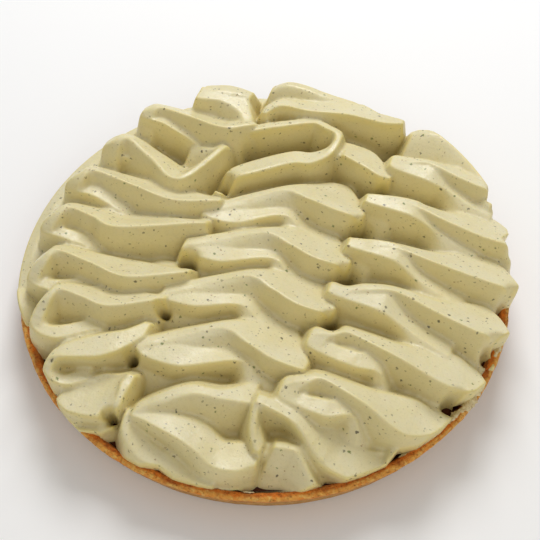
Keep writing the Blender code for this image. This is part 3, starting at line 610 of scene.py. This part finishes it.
def fold_stations(wave, column):
    """Stations of one wave, from its mouth round the right end, along the long
    arm, round the left turn and along the short lower arm to its tip."""
    low, fall = wave.low, column.long_fall
    end_x = wave.x + wave.reach - RIBBON_HALF
    dip_x = wave.x + wave.dip * wave.reach
    dip_y = wave.y + wave.rise - wave.fall
    dip_z = CREST if wave.end > 18 else 0.5 * (CREST + wave.end)
    end_y = dip_y + wave.hook
    mouth_x, mouth_y, mouth_z = column.mouth
    mouth_z = min(mouth_z, wave.end - 3.0)
    left_z = low + (CREST - low) * column.left_high
    turn_z = low + column.turn_lift
    turn_x = wave.x + column.turn_half
    crown_x = wave.x + wave.crown * wave.reach
    run, edge, long_run = column.left_run, column.left_round, column.long_run
    tip_x, tip_y = wave.x + wave.tip, wave.y - wave.sink
    hump_x, hump_y, hump_z, hump_round = column.hump if wave.tail else TIP_FADE
    return [
        Station(end_x + mouth_x, end_y + mouth_y, mouth_z, 5.0, fall, 1.2, 4.0),
        Station(end_x + 0.3 * mouth_x, end_y + 0.5 * mouth_y, 0.5 * (mouth_z + wave.end), 6.0, fall, 0.8,
                3.0),
        Station(end_x, end_y, wave.end, column.end_shelf, fall, long_run, SHARP),
        Station(dip_x, dip_y, dip_z, column.long_shelf, fall * wave.end / CREST, long_run, SHARP),
        Station(0.5 * (crown_x + dip_x), dip_y + 0.45 * wave.fall, CREST, column.mid_shelf, fall, long_run,
                SHARP),
        Station(crown_x, wave.y + wave.rise, 0.7 * CREST + 0.3 * left_z, column.crown_shelf, fall,
                0.5 * (run + long_run), 0.5 * edge),
        Station(0.45 * crown_x + 0.55 * turn_x, wave.y + 0.62 * wave.rise, left_z, column.crown_shelf, 0.3,
                run, edge),
        Station(turn_x + 0.3, wave.y + 0.2 * wave.rise, 0.5 * (turn_z + left_z), 4.0, 0.3,
                0.5 * (run + column.low_run), 0.6, column.turn_half),
        Station(turn_x + 1.0, wave.y - 0.6 * wave.belly, turn_z, 0.6 * wave.deck, wave.pitch, column.low_run,
                SHARP, column.turn_half),
        Station(wave.x + column.low_at * wave.tip, wave.y - wave.belly, low, wave.deck, wave.pitch,
                column.low_run, SHARP),
        Station(tip_x, tip_y, wave.tip_z, wave.deck, 0.3, column.low_run, 0.6),
        Station(tip_x + hump_x, tip_y + hump_y, wave.tip_z + hump_z, 8.0, 0.4, 1.2, hump_round),
        Station(tip_x + 1.9 * hump_x, tip_y + 2.0 * hump_y, wave.tip_z + 1.8 * hump_z, 8.0, 0.4, 1.2,
                hump_round),
    ]


def smooth_path(points, step):
    """Catmull-Rom curve through the control points, sampled at even steps."""
    pts = np.array([points[0]] + list(points) + [points[-1]], float)
    samples = []
    for i in range(1, len(pts) - 2):
        p0, p1, p2, p3 = pts[i - 1:i + 3]
        count = max(2, int(np.linalg.norm(p2[:3] - p1[:3]) / step))
        for t in np.arange(count) / count:
            samples.append(0.5 * (2 * p1 + (p2 - p0) * t
                                  + (2 * p0 - 5 * p1 + 4 * p2 - p3) * t ** 2
                                  + (3 * p1 - p0 - 3 * p2 + p3) * t ** 3))
    samples.append(pts[-2])
    return np.array(samples)


def lean_at(x, y):
    """How far the cream leans sideways per mm of height: to the front, a little
    to the right, and outwards near the edge."""
    return LEAN_X + LEAN_OUT * x / RIM_RADIUS, LEAN_Y + LEAN_OUT * y / RIM_RADIUS


def pipe(field, xs, ys, stations, step):
    """Raise the height field to a ribbon laid along the stations."""
    for x, y, z, shelf, fall, run, rounding, half in smooth_path(stations, step):
        shelf, run, rounding, half = max(shelf, 1.0), max(run, 0.1), max(rounding, 0.2), max(half, 0.4)
        x, y = x + CREAM_OFFSET[0], y + CREAM_OFFSET[1]
        lean_x, lean_y = lean_at(x, y)
        x, y = x - lean_x * z, y - lean_y * z
        deep = z + 6.0
        i0, i1 = np.searchsorted(xs, (x - half - deep * SIDE_RUN, x + half + deep * SIDE_RUN))
        j0, j1 = np.searchsorted(ys, (y - deep * run - rounding, y + shelf + deep * BACK_RUN))
        if i1 <= i0 or j1 <= j0:
            continue
        dx = np.abs(xs[i0:i1] - x)
        dy = ys[j0:j1] - y
        side = np.clip(dx - half, 0, None) / SIDE_RUN
        front = (np.hypot(dy, rounding) - rounding) / run
        back = fall * np.clip(dy, 0, shelf) + np.clip(dy - shelf, 0, None) / BACK_RUN
        drop = np.where(dy < 0, front, back)
        height = z - np.hypot(side[:, None], drop[None, :])
        np.maximum(field[i0:i1, j0:j1], height, out=field[i0:i1, j0:j1])


def fill_creases(field, cell, radius):
    """Round the creases between folds with a ball of the given radius."""
    reach = int(radius / cell)
    offsets = []
    for i in range(-reach, reach + 1):
        for j in range(-reach, reach + 1):
            d2 = (i * cell) ** 2 + (j * cell) ** 2
            if d2 <= radius ** 2:
                offsets.append((i, j, (radius ** 2 - d2) ** 0.5))
    grown = np.full_like(field, -1e9)
    for i, j, lift in offsets:
        grown = np.maximum(grown, np.roll(field, (i, j), (0, 1)) + lift)
    shrunk = np.full_like(field, 1e9)
    for i, j, lift in offsets:
        shrunk = np.minimum(shrunk, np.roll(grown, (i, j), (0, 1)) - lift)
    return shrunk


def column_field(column, extras, xs, ys, step):
    field = np.full((len(xs), len(ys)), LOWEST)
    stations = []
    for wave in column.waves:
        stations += fold_stations(wave, column)
    pipe(field, xs, ys, stations[1:], step)
    for extra in extras:
        pipe(field, xs, ys, extra, step)
    return fill_creases(field, step, CREASE_RADIUS)


def reach_at(turn):
    return np.interp(turn, *zip(*REACH))


def trim_edges(field, xs, ys):
    """Open the gaps between folds, add the bulge and the thin skirt at the left
    and back, and end the cream where the tart's edge is."""
    for x, y, size in GAPS:
        away = np.hypot(xs[:, None] - x - CREAM_OFFSET[0], ys[None, :] - y - CREAM_OFFSET[1])
        field = field - GAP_DEPTH * np.exp(-(away / size) ** 2)
    away = np.hypot(xs[:, None] - BULGE[0], ys[None, :] - BULGE[1])
    field = np.maximum(field, BULGE[2] - BULGE[2] * (away / BULGE[3]) ** 2)
    r = np.hypot(xs[:, None], ys[None, :])
    turn = np.degrees(np.arctan2(ys[None, :], xs[:, None]))
    edge = reach_at(turn)
    skirt = np.minimum(SKIRT[0] + SKIRT[1] * np.clip(RIM_RADIUS - r, 0, None), SKIRT[2])
    skirt = skirt - np.clip(RIM_RADIUS - SKIRT_WIDTH - r, 0, None)
    skirt = np.where((edge > RIM_RADIUS) & (np.abs(turn) > 90), skirt, LOWEST)
    return np.minimum(np.maximum(field, skirt), (edge - r) / EDGE_RUN)


def cream_field(xs, ys, cell):
    """Height of the cream over the rim: the highest fold at each place, and
    well under the chocolate's top where there is none."""
    field = np.full((len(xs), len(ys)), LOWEST)
    for column, extras in ((LEFT, LEFT_EXTRAS), (MIDDLE, MIDDLE_EXTRAS), (RIGHT, RIGHT_EXTRAS)):
        field = np.maximum(field, column_field(column, extras, xs, ys, cell))
    return trim_edges(field, xs, ys)


def spread(values, times):
    """Average over neighbours, a number of times."""
    for _ in range(times):
        values = (values + np.roll(values, 1, 0) + np.roll(values, -1, 0)
                  + np.roll(values, 1, 1) + np.roll(values, -1, 1)) / 5
    return values


def cream_marks(top, cell):
    """Masks for the painted light of the cream: a warm edge light along the crests
    of folds, and painted shade in the creases between them, in broad hollows and
    on steep walls."""
    # painted edge light: a warm line along the crests of folds, where light catches and soaks through the
    # thin edge
    crest = np.clip((top - spread(top, 4)) / 0.6, 0, 1)
    # painted shade: deeper, darker colour in creases, broad hollows and on steep walls, where shade falls
    crease_shade = np.clip((spread(top, 8) - top) / 1.6, 0, 1)
    hollow_shade = np.clip((spread(top, 30) - top) / 4.0, 0, 1)
    slope = np.hypot(*np.gradient(top, cell))
    wall_shade = spread(np.clip((slope - 0.6) / 1.2, 0, 1), 2)
    return (("crest", crest), ("crease_shade", crease_shade), ("hollow_shade", hollow_shade), ("wall_shade", wall_shade))


def cream_mesh():
    """Surface over all three columns, leaning with its height, cut off where it
    sinks out of sight and drawn in to the edge of the tart."""
    xs = ys = np.arange(-CREAM_SPAN, CREAM_SPAN + CREAM_CELL, CREAM_CELL)
    top = spread(cream_field(xs, ys, CREAM_CELL), 1)
    marks = cream_marks(top, CREAM_CELL)
    r = np.hypot(xs[:, None], ys[None, :])
    edge = reach_at(np.degrees(np.arctan2(ys[None, :], xs[:, None])))
    on_rim = r > RIM_RADIUS - WALL
    shown = (top > np.where(on_rim, SHOWN_ON_RIM, SHOWN_INSIDE)) & (r < edge)
    used = shown[:-1, :-1] | shown[1:, :-1] | shown[:-1, 1:] | shown[1:, 1:]
    inward = np.where(r > edge, edge / np.maximum(r, 1.0), 1.0)
    top = np.where(r > edge, FOOT_TUCK, np.where(on_rim, np.maximum(top, FOOT_TUCK), top))
    lift = np.clip(top, 0, None)
    lean_x, lean_y = lean_at(xs[:, None], ys[None, :])
    points = np.stack([xs[:, None] * inward + lean_x * lift, ys[None, :] * inward + lean_y * lift,
                       SHELL_HEIGHT + top], -1)
    number = np.arange(top.size).reshape(top.shape)
    faces = quads(number)[used]
    kept = np.unique(faces)
    renumber = np.full(number.size, -1)
    renumber[kept] = np.arange(len(kept))
    mesh = smooth_mesh("piped_cream", (points.reshape(-1, 3)[kept] * MM).tolist(), renumber[faces].tolist())
    for name, values in marks:
        layer = mesh.attributes.new(name, "FLOAT", "POINT")
        layer.data.foreach_set("value", values.reshape(-1)[kept].astype(np.float32))
    return mesh


def layer_value(tree, name):
    made = tree.nodes.new("ShaderNodeAttribute")
    made.attribute_name = name
    return made.outputs["Fac"]


def make_speckle_group():
    """Node group: sparse ragged specks in a piece's own space, sized and thinned
    by its inputs. Gives a mask of the specks."""
    group = bpy.data.node_groups.new("sparse specks", "ShaderNodeTree")
    face = group.interface
    for name, value in (("Spacing", 300.0), ("Size", 0.2), ("Share", 0.5), ("Seed", 0.0)):
        made = face.new_socket(name=name, in_out="INPUT", socket_type="NodeSocketFloat")
        made.default_value = value
    face.new_socket(name="Mask", in_out="OUTPUT", socket_type="NodeSocketFloat")
    link = group.links.new
    source = group.nodes.new("NodeGroupInput")
    result = group.nodes.new("NodeGroupOutput")
    where = group.nodes.new("ShaderNodeTexCoord")

    # bend the cells a little, so that no speck is a plain disc
    ragged = node(group, "ShaderNodeTexNoise", Scale=RAG_SCALE, Detail=2.0)
    link(where.outputs["Object"], ragged.inputs["Vector"])
    centred = node(group, "ShaderNodeVectorMath", operation="SUBTRACT")
    link(ragged.outputs["Color"], centred.inputs[0])
    centred.inputs[1].default_value = (0.5, 0.5, 0.5)
    bent = node(group, "ShaderNodeVectorMath", operation="MULTIPLY_ADD")
    link(centred.outputs[0], bent.inputs[0])
    bent.inputs[1].default_value = (RAG_REACH,) * 3
    link(where.outputs["Object"], bent.inputs[2])
    shift = node(group, "ShaderNodeVectorMath", operation="ADD")
    link(bent.outputs[0], shift.inputs[0])
    link(source.outputs["Seed"], shift.inputs[1])
    cells = node(group, "ShaderNodeTexVoronoi", feature="F1")
    link(shift.outputs[0], cells.inputs["Vector"])
    link(source.outputs["Spacing"], cells.inputs["Scale"])

    # each cell's random colour gives its speck a size and a chance to be there
    parts = node(group, "ShaderNodeSeparateColor")
    link(cells.outputs["Color"], parts.inputs[0])
    radius = calc(group, "MULTIPLY", parts.outputs["Red"], source.outputs["Size"])
    edge = node(group, "ShaderNodeMath", operation="MULTIPLY")
    edge.inputs[1].default_value = SPECK_EDGE
    edge.use_clamp = True
    link(calc(group, "SUBTRACT", radius, cells.outputs["Distance"]), edge.inputs[0])
    chosen = calc(group, "LESS_THAN", parts.outputs["Green"], source.outputs["Share"])
    link(calc(group, "MULTIPLY", edge.outputs[0], chosen), result.inputs["Mask"])
    return group


def speckle(tree, group, tone, colour, spacing, size, share, seed, strength):
    made = tree.nodes.new("ShaderNodeGroup")
    made.node_tree = group
    for name, value in (("Spacing", spacing), ("Size", size), ("Share", share), ("Seed", seed)):
        made.inputs[name].default_value = value
    return tint(tree, tone, colour, made.outputs["Mask"], strength)


def pistachio_cream():
    """Pale green yellow, deepened by painted shade in hollows, on steep walls and
    in creases, and warmed along crests by painted edge light; with fine grain,
    ground nuts and damp spots, and light soaking in a little."""
    material, tree, shader = new_material("pistachio_cream", 0.45)
    tone = tint(tree, CREAM_LIGHT, CREAM_DEEP_AND_SHADE, patchy(tree, *CLOUDS), 0.35)
    # painted shade in hollows, on steep walls and in creases; painted edge light on crests
    tone = tint(tree, tone, CREAM_DEEP_AND_SHADE, layer_value(tree, "hollow_shade"), 0.5)
    tone = tint(tree, tone, CREAM_DEEP_AND_SHADE, layer_value(tree, "wall_shade"), 0.5)
    # painted edge light along the crests
    tone = tint(tree, tone, CREAM_CREST_GLOW, layer_value(tree, "crest"), 0.8)
    tone = tint(tree, tone, CREAM_CREASE_SHADE, layer_value(tree, "crease_shade"), 0.55)
    tone = tint(tree, tone, CREAM_GRAIN, patchy(tree, *NUT_GRAIN), 0.35)
    group = make_speckle_group()
    for speck in SPECKS:
        tone = speckle(tree, group, tone, *speck)
    tree.links.new(tone, shader.inputs["Base Color"])
    damp = remap(tree, patchy(tree, *DAMP_SPOTS), 0.0, 1.0, *DAMP_TO_DRY)
    tree.links.new(damp, shader.inputs["Roughness"])
    shader.inputs["Subsurface Weight"].default_value = 0.25
    shader.inputs["Subsurface Radius"].default_value = (1.0, 0.75, 0.35)
    shader.inputs["Subsurface Scale"].default_value = 0.0015
    height = calc(tree, "MULTIPLY", noise(tree, *FINE_SURFACE), 0.4)
    height = calc(tree, "ADD", height, noise(tree, *BROAD_SURFACE))
    bump(tree, shader, height, 0.0004)
    return material


cream = place("piped_pistachio_cream", cream_mesh(), pistachio_cream())
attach(cream, "root")
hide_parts("cream_left", "cream_middle", "cream_right")


# Scraps of cream on the rim
# Thin smears and flakes that the piping left along the inner edge of the baked
# rim, pressed flat, stuck there and drying paler than the rest.

# Each smear: direction in degrees, half its length in degrees, radius of its
# middle, half its width and its thickness
SMEARS = [(-84.2, 3.2, 102.9, 0.9, 0.45), (-87.6, 0.9, 103.6, 0.6, 0.5), (-73.5, 1.3, 103.2, 0.5, 0.4),
          (-36.5, 2.6, 102.6, 1.1, 0.5), (-32.6, 1.6, 103.3, 0.8, 0.5), (-22.5, 2.6, 103.4, 1.6, 0.6),
          (-17.0, 4.2, 104.6, 2.1, 0.7), (-13.0, 1.3, 105.6, 1.0, 0.6), (-0.5, 3.6, 105.0, 1.3, 0.6),
          (38.5, 2.0, 104.5, 1.2, 0.5)]

# Points along and across a smear, how ragged its outline is and how lumpy its
# top, how far its edges sink into the crust, and the seed of the first one
SMEAR_GRID = (72, 20)
RAGGED = 0.45
LUMPY = 0.5
SMEAR_SINK = 0.12
SMEAR_SEED = 61

# Height of the crust under them: radius and height
RIM_TOP = [(100.0, 16.0), (102.6, 16.2), (103.2, 17.3), (104.2, 17.85), (105.4, 17.95), (106.4, 17.5)]

# Colours of the dried cream, and the patches of the darker one
DRIED_CREAM = (0.80, 0.69, 0.42)
DRIED_SHADE = (0.62, 0.46, 0.22)
DRIED_PATCHES = (700.0, 3.0, 0.6, 0.42, 0.66)


def smear_points(turn, half_turn, radius, half_width, thickness, seed):
    """One smear: an oval patch along the rim, ragged at its edges and lumpy."""
    along = np.linspace(-1, 1, SMEAR_GRID[0])[:, None]
    across = np.linspace(-1, 1, SMEAR_GRID[1])[None, :]
    outline = 1 + RAGGED * smooth_noise(SMEAR_GRID, (14, 2), seed)
    r = radius + across * half_width * np.sqrt(np.clip(1 - along ** 2, 0.0, 1)) * outline
    angle = np.radians(turn + half_turn * along)
    crown = np.sqrt(np.clip(1 - across ** 2, 0, 1)) * np.clip((1 - np.abs(along)) * 5, 0, 1)
    lumps = 1 + LUMPY * smooth_noise(SMEAR_GRID, (16, 5), seed + 1)
    z = np.interp(r, *zip(*RIM_TOP)) + thickness * lumps * crown - SMEAR_SINK
    return np.stack([r * np.cos(angle), r * np.sin(angle), z], -1)[:, ::-1] * MM


def scraps_mesh():
    points, faces = [], []
    for k, smear in enumerate(SMEARS):
        patch = smear_points(*smear, SMEAR_SEED + 3 * k)
        number = np.arange(patch[..., 0].size).reshape(SMEAR_GRID) + len(points)
        points += patch.reshape(-1, 3).tolist()
        faces += quads(number)[..., [0, 3, 2, 1]].reshape(-1, 4).tolist()
    return smooth_mesh("cream_scraps", points, faces)


def dried_cream():
    material, tree, shader = new_material("dried_cream", 0.6)
    shade = patchy(tree, *DRIED_PATCHES)
    tree.links.new(blend(tree, shade, DRIED_CREAM, DRIED_SHADE), shader.inputs["Base Color"])
    bump(tree, shader, shade, 0.0003)
    return material


scraps = place("cream_scraps", scraps_mesh(), dried_cream())
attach(scraps, "root")


# Floor, light and camera
# A plain pale floor, one broad soft light high behind the tart, a weaker one
# in front, and the camera where the tart was seen from.

# Floor: half its side and how far it lies under the tart, in metres
FLOOR_PALE = (0.93, 0.93, 0.93)
FLOOR_HALF = 2.0
FLOOR_DROP = 0.0002

# Each light: name, place, watts, side and colour; and the light all round
LIGHTS = [("key_light", (-0.15, 0.62, 0.75), 6.0, 0.45, (1.0, 1.0, 1.0)),
          ("fill_light", (0.35, -0.6, 0.55), 1.6, 0.6, (1.0, 0.93, 0.80))]
ALL_ROUND = 0.40

# Camera: its direction and distance from the point it looks at, its lens, and
# the shift that puts the tart where the frame has it
CAMERA_TURN = radians(20.0)
CAMERA_RISE = radians(54.0)
CAMERA_REACH = 0.5
CAMERA_AIM = Vector((-0.0016, 0.0014, 0.018))
CAMERA_LENS = 75.67
CAMERA_SHIFT = (7.6 / 540, 1.5 / 540)


def pale_floor():
    h = FLOOR_HALF
    mesh = bpy.data.meshes.new("floor")
    mesh.from_pydata([(-h, -h, 0), (h, -h, 0), (h, h, 0), (-h, h, 0)], [], [(0, 1, 2, 3)])
    material, tree, shader = new_material("floor", 0.9)
    shader.inputs["Base Color"].default_value = (*FLOOR_PALE, 1.0)
    floor = place("floor", mesh, material)
    floor.location.z = -FLOOR_DROP


def white_world():
    world = bpy.data.worlds.new("studio")
    world.use_nodes = True
    sky = world.node_tree.nodes["Background"]
    sky.inputs["Color"].default_value = (1.0, 1.0, 1.0, 1.0)
    sky.inputs["Strength"].default_value = ALL_ROUND
    bpy.context.scene.world = world


def soft_light(name, position, power, size, colour):
    lamp = bpy.data.lights.new(name, "AREA")
    lamp.energy = power
    lamp.size = size
    lamp.color = colour
    held = bpy.data.objects.new(name, lamp)
    held.location = position
    held.rotation_euler = (CAMERA_AIM - Vector(position)).to_track_quat("-Z", "Y").to_euler()
    bpy.context.scene.collection.objects.link(held)


def photo_camera():
    lens = bpy.data.cameras.new("camera")
    lens.lens = CAMERA_LENS
    lens.sensor_width = 36.0
    lens.shift_x, lens.shift_y = CAMERA_SHIFT
    camera = bpy.data.objects.new("camera", lens)
    away = Vector((sin(CAMERA_TURN) * cos(CAMERA_RISE), -cos(CAMERA_TURN) * cos(CAMERA_RISE),
                   sin(CAMERA_RISE)))
    camera.location = CAMERA_AIM + CAMERA_REACH * away
    camera.rotation_euler = (-away).to_track_quat("-Z", "Y").to_euler()
    bpy.context.scene.collection.objects.link(camera)
    bpy.context.scene.camera = camera


pale_floor()
white_world()
for light in LIGHTS:
    soft_light(*light)
photo_camera()
bpy.context.scene.view_settings.view_transform = "Standard"
